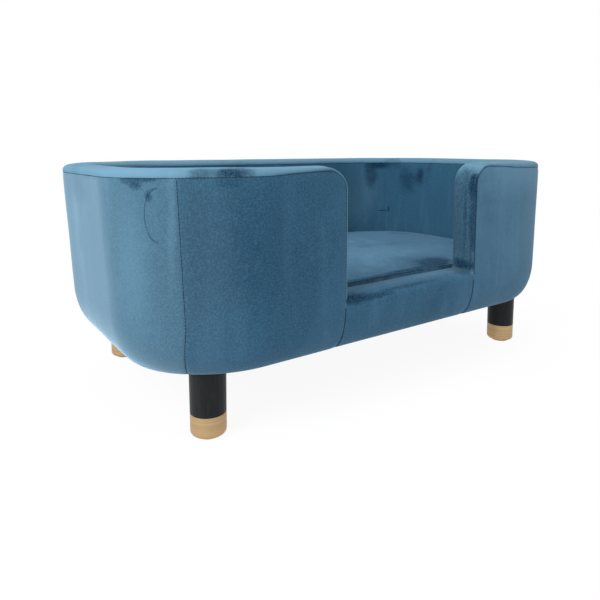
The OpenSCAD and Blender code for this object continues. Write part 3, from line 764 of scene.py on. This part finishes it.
def rim_strip():
    """Points of the rim strip: up one arm end, over the wall all round, and down the other."""
    corner = np.radians(np.linspace(90, 0, 13))
    drops = np.linspace(END_DROP, SEAM_DROPS[0], len(corner))

    def end(side):
        straight = np.arange(BULL_TOP + 2 * GAP, BODY_H - END_R, 0.5 * STEP)
        rings = []
        for z in straight:
            foot = arm_end_ring(side, corner[0], foot_seam(z), foot_share(z))
            rings.append(foot * (1, 1, 0) + (0, 0, z))
        return rings + [arm_end_ring(side, a, d) for a, d in zip(corner, drops)]

    wall = []
    for u in stations(END_U, PATH_END - END_U, 0.8 * STEP, even=True)[1:-1]:
        depth, drop = rim_section(seam_drop(u), *crown_size(u)).T
        wall.append(with_height(plan(u, BODY_H - drop, depth), BODY_H - drop))
    return swollen_end(np.array(end(-1) + wall + end(1)[::-1]))


def rail():
    """Points of the front rail's velvet, over its padded top, from under the base to the deck."""
    a = np.radians(np.linspace(0, 90, 10))
    rise = np.linspace(BULL_TOP, RAIL_H - RAIL_DROP, 3)[1:-1]
    face = np.stack([np.full_like(rise, RAIL_BACK), rise], -1)
    front = np.stack([RAIL_ROUND * (1 - np.cos(a)), -RAIL_DROP * (1 - np.sin(a))], -1)
    rear = -RAIL_REAR_R * np.stack([1 - np.sin(a), 1 - np.cos(a)], -1)
    front, rear = front + (RAIL_BACK, RAIL_H), rear + (WALL_T, RAIL_H)
    top = np.linspace(front[-1], rear[0], 5)[1:-1]
    down = np.linspace(rear[-1], [WALL_T, DECK_HIGH.z], 8)[1:]
    section = np.concatenate([bull_section(RAIL_BACK), face, front, top, rear, down])
    half = HALF_ENTRY - GAP
    return np.array([[[x, d - HALF_D, z] for x in graded(2 * half) - half] for d, z in section])


# Seat cushion


def bowed(t):
    """A soft bow: 1 at 0, and 0 from 1 onwards on both sides."""
    return np.maximum(1 - t**2, 0) ** 2


def seat_outline(inset, step=0.007):
    """The cushion's outline, drawn in between its corners on the front and the two ends."""
    u = stations(0, PATH_END, step, even=True)
    points = plan(u, SEAT_LOW.z, WALL_T + SEAT_GAP + inset)
    x, y = points.T
    mid, reach = (BACK_CY + FRONT_CY) / 2, (BACK_CY - FRONT_CY) / 2
    front = (u < 1) | (u > PATH_END - 1)
    sides = ((u > 2) & (u < 3)) | ((u > 6) & (u < 7))
    y = y + np.where(front, SEAT_PULL * bowed(x / FRONT_CX), 0)
    x = x - np.sign(x) * np.where(sides, SEAT_PULL / 2 * bowed((y - mid) / reach), 0)
    gap_x = np.linspace(HALF_ENTRY, -HALF_ENTRY, round(2 * HALF_ENTRY / step))[1:-1]
    gap_y = y[0] + SEAT_PULL * (bowed(gap_x / FRONT_CX) - bowed(HALF_ENTRY / FRONT_CX))
    return np.concatenate([np.stack([x, y], -1), np.stack([gap_x, gap_y], -1)])


def seat_rings(inset, crown):
    """Rings of the cushion's closed form: bottom, band and crowned top, close at the seams."""
    outline = seat_outline(inset)
    mid = np.array([0.0, (outline[:, 1].min() + outline[:, 1].max()) / 2])
    low, high = SEAT_SEAMS
    shares = 1 - (1 - np.linspace(0.015, 1, 28)) ** 1.6
    rings = [(s, low) for s in shares]
    rings += [(1.0, low + rise) for rise in graded(high - low, 0.004)[1:-1]]
    rings += [(s, high + crown * (1 - s**SEAT_FULLNESS)) for s in shares[::-1]]
    return [with_height(mid + (outline - mid) * s, z) for s, z in rings]


def closed_mesh(name, rings):
    """A closed mesh through rings of equal length, capped at both ends."""
    built = bmesh.new()
    rows = [[built.verts.new(p) for p in ring] for ring in rings]
    n = len(rows[0])
    for low, high in zip(rows, rows[1:]):
        for j in range(n):
            k = (j + 1) % n
            built.faces.new((low[j], low[k], high[k], high[j]))
    built.faces.new(rows[0][::-1])
    built.faces.new(rows[-1])
    bmesh.ops.recalc_face_normals(built, faces=built.faces)
    return finished(name, built)


def points_of(mesh):
    co = np.empty(len(mesh.vertices) * 3, np.float32)
    mesh.vertices.foreach_get("co", co)
    return co.reshape(-1, 3).astype(float)


def set_points(mesh, co):
    mesh.vertices.foreach_set("co", co.astype(np.float32).ravel())
    mesh.update()


def surface(obj):
    """A tree that finds the nearest place on an object's faces."""
    corners = [v.co for v in obj.data.vertices]
    return BVHTree.FromPolygons(corners, [tuple(f.vertices) for f in obj.data.polygons])


def seam_distance(co, outline):
    """Distance of each point to the nearer of the two seams that run round the cushion."""
    closed = np.concatenate([outline, outline[:1]])
    line = np.concatenate([np.linspace(a, b, 5)[:-1] for a, b in zip(closed, closed[1:])])
    tree = nearest([(x, y, z) for z in SEAT_SEAMS for x, y in line])
    return np.array([tree.find(p)[2] for p in co])


def inflate(obj, pinned):
    """Blows the pad up as cloth with its seams held, and caps how far a point moves."""
    start = points_of(obj.data)
    group = obj.vertex_groups.new(name="seams")
    for i, weight in enumerate(pinned):
        if weight > 0.01:
            group.add([i], float(weight), "REPLACE")
    cloth = obj.modifiers.new("cloth", "CLOTH")
    settings = cloth.settings
    settings.quality = 5
    settings.mass = CLOTH_MASS
    settings.use_pressure = True
    settings.uniform_pressure_force = PRESSURE
    settings.tension_stiffness = settings.compression_stiffness = STRETCH_STIFFNESS
    settings.bending_stiffness = BEND_STIFFNESS
    settings.vertex_group_mass = "seams"
    settings.effector_weights.gravity = 0
    cloth.collision_settings.use_collision = False
    cloth.point_cache.frame_end = BLOW_FRAMES
    for number in range(1, BLOW_FRAMES + 1):
        bpy.context.scene.frame_set(number)
    applied(obj)
    bpy.context.scene.frame_set(1)
    moved = points_of(obj.data) - start
    length = np.linalg.norm(moved, axis=1, keepdims=True)
    set_points(obj.data, start + moved * np.minimum(1, BLOW_CAP / np.maximum(length, 1e-9)))


def remeshed(obj):
    """Gives a form an even mesh of square faces."""
    modifier = obj.modifiers.new("even", "REMESH")
    modifier.mode = "VOXEL"
    modifier.voxel_size = PAD_STEP
    applied(obj)


def smoothed(obj):
    subdivided = obj.modifiers.new("smooth", "SUBSURF")
    subdivided.levels = subdivided.render_levels = 1
    applied(obj)


def blown_up(obj, crown, outline):
    """Moves a form onto a simulated copy of itself, apart from a strip along its seams."""
    pad = closed_mesh("pad", seat_rings(PAD_INSET, crown))
    remeshed(pad)
    away = seam_distance(points_of(pad.data), outline)
    inflate(pad, (1.6 - away / PAD_STEP).clip(0, 1))
    smoothed(pad)
    co = points_of(obj.data)
    share = smooth((seam_distance(co, outline) - KEEP_BESIDE_SEAM) / KEEP_FADE)
    tree = surface(pad)
    for i, p in enumerate(co):
        at = np.array(tree.find_nearest(Vector(p))[0])
        co[i] = p + share[i] * (at - p)
    set_points(obj.data, co)
    bpy.data.objects.remove(pad)


def seat_cushion(material):
    """The loose cushion: a pad blown up between its two seams, then puckered at them."""
    crown = SEAT_CROWN_Z - SEAT_SEAM_Z - SEAT_SEAM_RISE - SEAT_SLACK
    obj = closed_mesh("cushion", seat_rings(0.0, crown))
    outline = seat_outline(0.0)
    blown_up(obj, crown, outline)
    co = points_of(obj.data)
    normals = np.array([v.normal for v in obj.data.vertices])
    away = seam_distance(co, outline)
    pucker, wobble = (
        np.array([noise.noise(Vector(p) * scale) for p in co])
        for scale in (SEAT_PUCKER_SCALE, SEAT_WOBBLE_SCALE)
    )
    shift = SEAT_PUCKER * pucker * np.exp(-away / SEAT_PUCKER_REACH)
    shift += SEAT_WOBBLE * wobble * (1 - np.exp(-away / SEAT_WOBBLE_START))
    shift -= SEAT_GROOVE * np.exp(-((away / VALLEY_WIDTH) ** 2))
    co += normals * shift[:, None]
    co[:, 2] = co[:, 2].clip(SEAT_LOW.z, None)
    co[:, 1] = co[:, 1].clip(None, SEAT_BACK_Y - GAP)
    set_points(obj.data, co)
    obj.data.materials.append(material)
    for face in obj.data.polygons:
        face.use_smooth = True
    return obj


# Cloths under the cushion and under the base


def prism(name, outline, low, high):
    """A straight solid between two heights."""
    return closed_mesh(name, [with_height(outline, low), with_height(outline, high)])


def flat_cloth(name, outline, holes, low, high, material):
    """A stretched cloth cut to an outline, with round holes, and the area of its cut."""
    obj = prism(name, outline, low, high)
    circle = np.radians(np.arange(0, 360, 7.5))
    for x, y, r in holes:
        around = np.stack([x + r * np.cos(circle), y + r * np.sin(circle)], -1)
        cutter = prism("cutter", around, low - WALL_T, high + WALL_T)
        cut = obj.modifiers.new("hole", "BOOLEAN")
        cut.object = cutter
        cut.solver = "EXACT"
        applied(obj)
        bpy.data.objects.remove(cutter)
    obj.data.materials.clear()
    obj.data.materials.append(material)
    return obj, sum(f.area for f in obj.data.polygons if f.normal.z > 0.5)


# Seams


def dashes(lines):
    """Four-sided stitches along lines of points with outward directions, their ends sunk."""
    verts, faces = [], []
    for points, outward, offset in lines:
        run = run_along(points)
        for i in range(int(run[-1] / (STITCH + STITCH_GAP))):
            s = (i + 0.5) * (STITCH + STITCH_GAP) + np.array([-0.5, -0.25, 0.25, 0.5]) * STITCH
            at = np.stack([np.interp(s, run, points[:, k]) for k in range(3)], -1)
            out = np.stack([np.interp(s, run, outward[:, k]) for k in range(3)], -1)
            out /= np.linalg.norm(out, axis=1, keepdims=True)
            side = np.cross(at[-1] - at[0], out)
            side /= np.linalg.norm(side, axis=1, keepdims=True)
            lift = np.array([-1.2, 0.2, 0.2, -1.2]) * THREAD_R
            first = len(verts)
            for p, o, w, up in zip(at, out, side, lift):
                centre = p + o * (offset + up)
                verts += [centre + THREAD_R * t for t in (o, w, -o, -w)]
            for ring in range(first, first + 12, 4):
                for j in range(4):
                    k = (j + 1) % 4
                    faces.append((ring + j, ring + k, ring + 4 + k, ring + 4 + j))
            faces.append((first + 3, first + 2, first + 1, first))
            faces.append(tuple(range(first + 12, first + 16)))
    return verts, faces


def stitches(name, lines, material):
    verts, faces = dashes(lines)
    mesh = bpy.data.meshes.new(name)
    mesh.from_pydata([tuple(v) for v in verts], [], faces)
    mesh.materials.append(material)
    return in_scene(name, mesh)


def grid_line(points, column=0, away=0.0):
    """A column of a grid, or the line at a distance from its first one, and its normals."""
    along = np.gradient(points, axis=0)
    across = np.gradient(points, axis=1)
    normal = np.cross(along, across)
    normal /= np.linalg.norm(normal, axis=2, keepdims=True)
    if not away:
        return points[:, column], normal[:, column]
    steps = np.linalg.norm(np.diff(points, axis=1, prepend=points[:, :1]), axis=2)
    run = np.cumsum(steps, axis=1)
    at, out = (
        np.array([[np.interp(away, r, row[:, k]) for k in range(3)] for r, row in zip(run, grid)])
        for grid in (points, normal)
    )
    return at, out


def outwards(points, normal):
    """The directions of a line, turned away from the middle of the underside."""
    sign = np.sign((normal * (points - (0, 0, UNDER))).sum(-1, keepdims=True))
    return normal * np.where(sign == 0, 1, sign)


# The scene


# Tones of the darker and paler patches: pile lying over in some, painted shade and painted
# highlights in others.
DARK_PILE_AND_SHADE = (0.001, 0.018, 0.045)
PALE_PILE_AND_HIGHLIGHT = (0.2, 0.38, 0.52)


def dark(at, size, share, tone=DARK_PILE_AND_SHADE, **more):
    return dict(area=dict(at=at, size=size, **more), share=share, tone=tone)


def pale(at, size, share):
    return dark(at, size, share, PALE_PILE_AND_HIGHLIGHT, soft=0.8)


BASE = (0.021, 0.069, 0.12)
DEEP = (0.006, 0.03, 0.06)
PALE = (0.074, 0.186, 0.286)
# The side and back panels' velvet, lighter than the front's: partly the other lie of their nap, and
# partly painted light from the lamp on the left. Its deep and pale tones serve the rim strip too.
SIDE_WITH_PAINTED_LIGHT = (0.038, 0.092, 0.138)
SIDE_DEEP_WITH_PAINTED_LIGHT = (0.014, 0.055, 0.095)
SIDE_PALE_WITH_PAINTED_LIGHT = (0.104, 0.214, 0.296)
# The rim strip's velvet is painted lighter: a painted highlight where its top faces the lamp above,
# and painted sheen in place of the low sheen its shader keeps.
RIM_WITH_PAINTED_HIGHLIGHT = (0.088, 0.182, 0.252)
INNER = (0.022, 0.076, 0.128)
INNER_DEEP = (0.005, 0.02, 0.042)
INNER_PALE = (0.06, 0.15, 0.234)
SEAT = (0.047, 0.112, 0.178)
SEAT_DEEP = (0.01, 0.034, 0.066)
SEAT_PALE = (0.106, 0.22, 0.325)

# Darker and paler patches on the surface of each panel: some where the pile lies over, and the
# painted shade and painted highlights that the notes in the lists name.
SIDE_TURN = (0, 0, math.radians(-46.6))
SIDE_MARKS = [
    dark((-0.3866, -0.1955, 0.2966), (0.0165, 0.05, 0.032), 0.8, turn=SIDE_TURN, line=0.07),
    dark((-0.3945, -0.1885, 0.319), (0.0045, 0.02, 0.0065), 0.7, turn=SIDE_TURN),
    dark((-0.405, -0.1745, 0.3355), (0.009, 0.02, 0.0075), 0.85, turn=SIDE_TURN),
    dark((-0.4115, -0.162, 0.3385), (0.007, 0.02, 0.005), 0.75, turn=SIDE_TURN),
    dark((-0.3938, -0.1883, 0.3395), (0.012, 0.02, 0.0035), 0.75, turn=SIDE_TURN),
    dark((-0.429, 0, 0.32), (0.02, 0.045, 0.018), 0.35),
    dark((-0.425, 0.01, 0.245), (0.02, 0.012, 0.022), 0.25),
    pale((-0.408, -0.165, 0.23), (0.02, 0.022, 0.07), 0.09),
    dark((-0.38, -0.2, 0.23), (0.02, 0.024, 0.09), 0.15, (0.03, 0.06, 0.08), soft=0.8),
    dark((-0.423, -0.12, 0.27), (0.02, 0.02, 0.06), 0.14, soft=0.8),
]
FRONT_MARKS = [
    dark((-0.277, -0.24, 0.262), (0.075, 0.04, 0.08), 0.35, soft=0.8),
    # Painted shade: a broad dark patch that darkens the left arm's front beside its corner seam.
    dark((-0.35, -0.215, 0.24), (0.05, 0.05, 0.14), 0.38, (0.03, 0.046, 0.058), soft=0.8),
    dark((-0.315, -0.235, 0.335), (0.016, 0.02, 0.006), 0.35),
    # Painted sheen: two pale patches that lighten the right arm's front, as the velvet's sheen does
    # where it is seen at a slant.
    pale((0.27, -0.245, 0.34), (0.12, 0.03, 0.035), 0.24),
    pale((0.24, -0.245, 0.24), (0.12, 0.03, 0.11), 0.14),
]
RIM_MARKS = [
    dark((-0.3104, -0.2365, 0.347), (0.026, 0.012, 0.009), 0.95),
    dark((-0.342, -0.222, 0.347), (0.014, 0.01, 0.008), 0.6),
    dark((-0.2273, -0.21, 0.35), (0.034, 0.014, 0.01), 0.6),
    # Painted shade: dark patches down the right arm's end, and a broad darkening of its face.
    dark((0.1375, -0.2395, 0.312), (0.01, 0.0085, 0.022), 1.0, soft=0.3),
    dark((0.1375, -0.2405, 0.25), (0.01, 0.0065, 0.06), 0.8),
    dark((0.1375, -0.227, 0.18), (0.01, 0.026, 0.0095), 1.0),
    dark((0.1375, -0.226, 0.26), (0.01, 0.003, 0.06), 0.5),
    dark((0.1375, -0.222, 0.26), (0.012, 0.04, 0.1), 0.75, soft=0.5),
    # Painted highlight: a pale patch on the top of the rim strip on the left.
    pale((-0.39, -0.15, 0.35), (0.04, 0.06, 0.01), 0.13),
]
INNER_MARKS = [
    dark((0.3117, 0.1736, 0.336), (0.03, 0.03, 0.009), 1.0),
    dark((0.295, 0.18, 0.31), (0.014, 0.03, 0.026), 0.8),
    dark((0.3767, 0.0969, 0.312), (0.012, 0.007, 0.014), 0.8),
    dark((0.322, 0.165, 0.224), (0.014, 0.016, 0.0016), 0.8, soft=0.3),
    dark((0.333, 0.157, 0.229), (0.002, 0.01, 0.006), 0.7, soft=0.3),
    dark((0.26, 0.19, 0.28), (0.02, 0.03, 0.04), 0.3),
    # Painted light: a pale patch that lightens the inside of the wall at the back right, where it
    # lies in shade.
    pale((0.27, 0.19, 0.26), (0.035, 0.03, 0.06), 0.1),
    dark((0.36, 0.125, 0.3), (0.012, 0.02, 0.03), 0.5),
]
RAIL_MARKS = [
    dark((-0.1206, -0.24, 0.1655), (0.028, 0.01, 0.007), 1.0),
    dark((-0.0829, -0.2423, 0.164), (0.034, 0.008, 0.0035), 0.8),
    dark((-0.01, -0.238, 0.168), (0.06, 0.004, 0.003), 0.6),
    # Painted shade in the corner where the rail's top meets the right arm's end.
    dark((0.1268, -0.222, 0.171), (0.018, 0.018, 0.008), 0.9),
]
SEAT_MARKS = [
    dark((0.1189, -0.172, 0.1755), (0.04, 0.02, 0.012), 1.0, soft=0.4),
    dark((0.1, -0.15, 0.179), (0.05, 0.026, 0.012), 0.5, soft=0.8, ragged=1.0),
    # Painted shade: two thin dark bands along the cushion's top at its front edge, beside the rail.
    dark((0.0636, -0.185, 0.175), (0.07, 0.006, 0.008), 0.8, soft=0.5),
    dark((-0.05, -0.1895, 0.175), (0.09, 0.005, 0.008), 0.6, soft=0.5),
    pale((0, -0.1945, 0.1665), (0.11, 0.006, 0.0035), 0.35),
    pale((0.06, -0.11, 0.1814), (0.12, 0.05, 0.02), 0.14),
]


def body_grids():
    """The points of every velvet piece of the body by name, and the way that it faces."""
    return {
        "front_left": (front_panel(1), 1),
        "front_right": (front_panel(-1), 1),
        "side_left": (wall_panel(FRONT_SEAM, REAR_SEAM), 1),
        "side_right": (wall_panel(FRONT_SEAM, REAR_SEAM, -1), 1),
        "back": (wall_panel(REAR_SEAM, PATH_END - REAR_SEAM), 1),
        "rim": (rim_strip(), 0),
        "rail": (rail(), 0),
        "inner_left": (inner_panel(END_U / 3, REAR_SEAM), -1),
        "inner_right": (inner_panel(END_U / 3, REAR_SEAM, -1), -1),
        "inner_back": (inner_panel(REAR_SEAM, PATH_END - REAR_SEAM), -1),
    }


def body_pieces(grids):
    """Dresses the body in velvet."""
    front = velvet("velvet_front", BASE, DEEP, PALE, 0.25, 0.14, 0.4, FRONT_MARKS)
    side = velvet("velvet_side", SIDE_WITH_PAINTED_LIGHT, SIDE_DEEP_WITH_PAINTED_LIGHT, SIDE_PALE_WITH_PAINTED_LIGHT, 0.3, 0.25, 0.7, SIDE_MARKS)
    back = velvet("velvet_back", SIDE_WITH_PAINTED_LIGHT, SIDE_DEEP_WITH_PAINTED_LIGHT, SIDE_PALE_WITH_PAINTED_LIGHT, 0.4, 0.3, 0.6)
    strip = velvet("velvet_rim", RIM_WITH_PAINTED_HIGHLIGHT, SIDE_DEEP_WITH_PAINTED_LIGHT, SIDE_PALE_WITH_PAINTED_LIGHT, 0.4, 0.35, 0.12, RIM_MARKS)
    low = velvet("velvet_rail", BASE, DEEP, PALE, 0.25, 0.2, 0.3, RAIL_MARKS)
    inner = velvet("velvet_inner", INNER, INNER_DEEP, INNER_PALE, 0.6, 0.35, 0.15, INNER_MARKS)
    looks = {
        "front_left": (front, ["cover_front_left"]),
        "front_right": (front, ["cover_front_right"]),
        "side_left": (side, ["cover_side_left", "wadding_left"]),
        "side_right": (side, ["cover_side_right", "wadding_right"]),
        "back": (back, ["cover_back", "wadding_back"]),
        "rim": (strip, ["cover_rim", "rim_foam"]),
        "rail": (low, ["cover_rail", "rail_foam"]),
        "inner_left": (inner, ["inside_left", "foam_left"]),
        "inner_right": (inner, ["inside_right", "foam_right"]),
        "inner_back": (inner, ["inside_back", "foam_back"]),
    }
    for name, (points, facing) in grids.items():
        material, nodes = looks[name]
        obj = mesh_of(name, points, material, facing)
        rise = 0.0 if name == "rail" else CROWN_RISE
        upholster(obj, rise, VALLEY_DEPTH / (2 if material is inner else 1))
        thicken(obj)
        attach(obj, "bed")
        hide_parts(*nodes)


def seam_pieces(grids):
    """Stitches along every seam of the body, and the row sewn beside the seam on each arm end."""
    rim = grids["rim"][0]
    sunk = -0.6 * VALLEY_DEPTH
    found = []
    x, y = rim[:, 0, 0], rim[:, 0, 1]
    for side in (-1, 1):
        arm_end = rim[(side * x > 0) & (side * x < HALF_ENTRY + END_R + GAP) & (y < 0)]
        found.append((*grid_line(arm_end, away=TOPSTITCH), 0.0))
    sewn = [("front_left", -1), ("front_right", -1)]
    sewn += [(name, column) for name in ("rim", "back", "rail") for column in (0, -1)]
    found += [(*grid_line(grids[name][0], column), sunk) for name, column in sewn]
    lines = [(points, outwards(points, normal), offset) for points, normal, offset in found]
    obj = stitches("wall_stitches", lines, thread())
    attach(obj, "bed")


def cushion_pieces():
    """The loose cushion and the stitches of its upper seam."""
    seat = velvet("velvet_seat", SEAT, SEAT_DEEP, SEAT_PALE, 0.45, 0.25, 0.05, SEAT_MARKS)
    obj = seat_cushion(seat)
    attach(obj, "cushion")
    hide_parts("cushion_foam", "cushion_top", "cushion_boxing", "cushion_bottom")
    outline = seat_outline(-SEAT_THREAD_OUT, 0.004)
    loop = with_height(np.concatenate([outline, outline[:1]]), SEAT_SEAMS[1] + SEAT_THREAD_OUT)
    tree = surface(obj)
    hits = [tree.find_nearest(Vector(p)) for p in loop]
    line, out = (np.array([hit[k] for hit in hits]) for k in (0, 1))
    sewn = stitches("cushion_stitches", [(line, out, 0.0)], thread())
    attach(sewn, "cushion")


def cloth_pieces():
    """The cloth under the cushion, and the dust cloth under the base with holes for the legs."""
    u = stations(0, PATH_END, CLOTH_STEP, even=True)
    deck_line = plan(u, DECK_LOW.z, WALL_T + GAP)
    dust_line = plan(u, UNDER, BULL_H + TUCK_W / 2)
    holes = [(axis.x, axis.y, LEG_R + LEG_HOLE_GAP) for axis in LEG_AXES]
    deck_look = woven_cloth("deck_weave", (0.008, 0.03, 0.06), (0.03, 0.08, 0.14), 520.0)
    dust_look = woven_cloth("dust_weave", (0.004, 0.004, 0.005), (0.02, 0.02, 0.022), 420.0)
    deck = ("deck", "deck_cloth", "deck_cloth", "base_upper")
    dust = ("dust", "dust_cover", "dust_cloth", "base_lower")
    for (name, node, slot, under), line, cuts, low, high, look in (
        (deck, deck_line, [], DECK_LOW, DECK_HIGH, deck_look),
        (dust, dust_line, holes, DUST_LOW, DUST_HIGH, dust_look),
    ):
        obj, area = flat_cloth(name, line, cuts, low.z, high.z, look)
        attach(obj, "bed")
        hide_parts(node)


def finish_cad_nodes():
    """Gives each CAD node that stays its finish."""
    plywood = wood("plywood", (0.62, 0.45, 0.27), (0.38, 0.24, 0.12), 900.0)
    timber = wood("timber", (0.6, 0.42, 0.24), (0.36, 0.22, 0.11))
    steel = metal("steel", (0.62, 0.62, 0.64), (0.42, 0.42, 0.44))
    tape = woven_cloth("zip_weave", (0.006, 0.02, 0.04), (0.02, 0.05, 0.09), 700.0)
    nickel = metal("nickel", (0.7, 0.68, 0.64), (0.5, 0.48, 0.45))
    for material, names in (
        (plywood, ["base_lower", "base_upper"]),
        (timber, ["bottom_hoop", "top_hoop", "uprights", "rail_board"]),
        (timber, ["arm_post_left", "arm_post_right"]),
        (fibre_board(), ["outer_board", "inner_board"]),
        (steel, ["frame_screws", "dust_staples", "hanger_bolts", "tee_nuts"]),
        (moulded_plastic(), ["glides"]),
        (tape, ["zip"]),
        (nickel, ["zip_slider"]),
        (stained_wood(), ["leg_" + leg for leg in LEGS]),
        (brushed_gold(), ["tip_" + leg for leg in LEGS]),
    ):
        for name in names:
            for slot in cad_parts[name].material_slots:
                slot.material = material


bpy.context.scene.view_settings.view_transform = "Standard"
make_camera()
make_world()
make_light()
make_floor()
grids = body_grids()
body_pieces(grids)
seam_pieces(grids)
cushion_pieces()
cloth_pieces()
finish_cad_nodes()
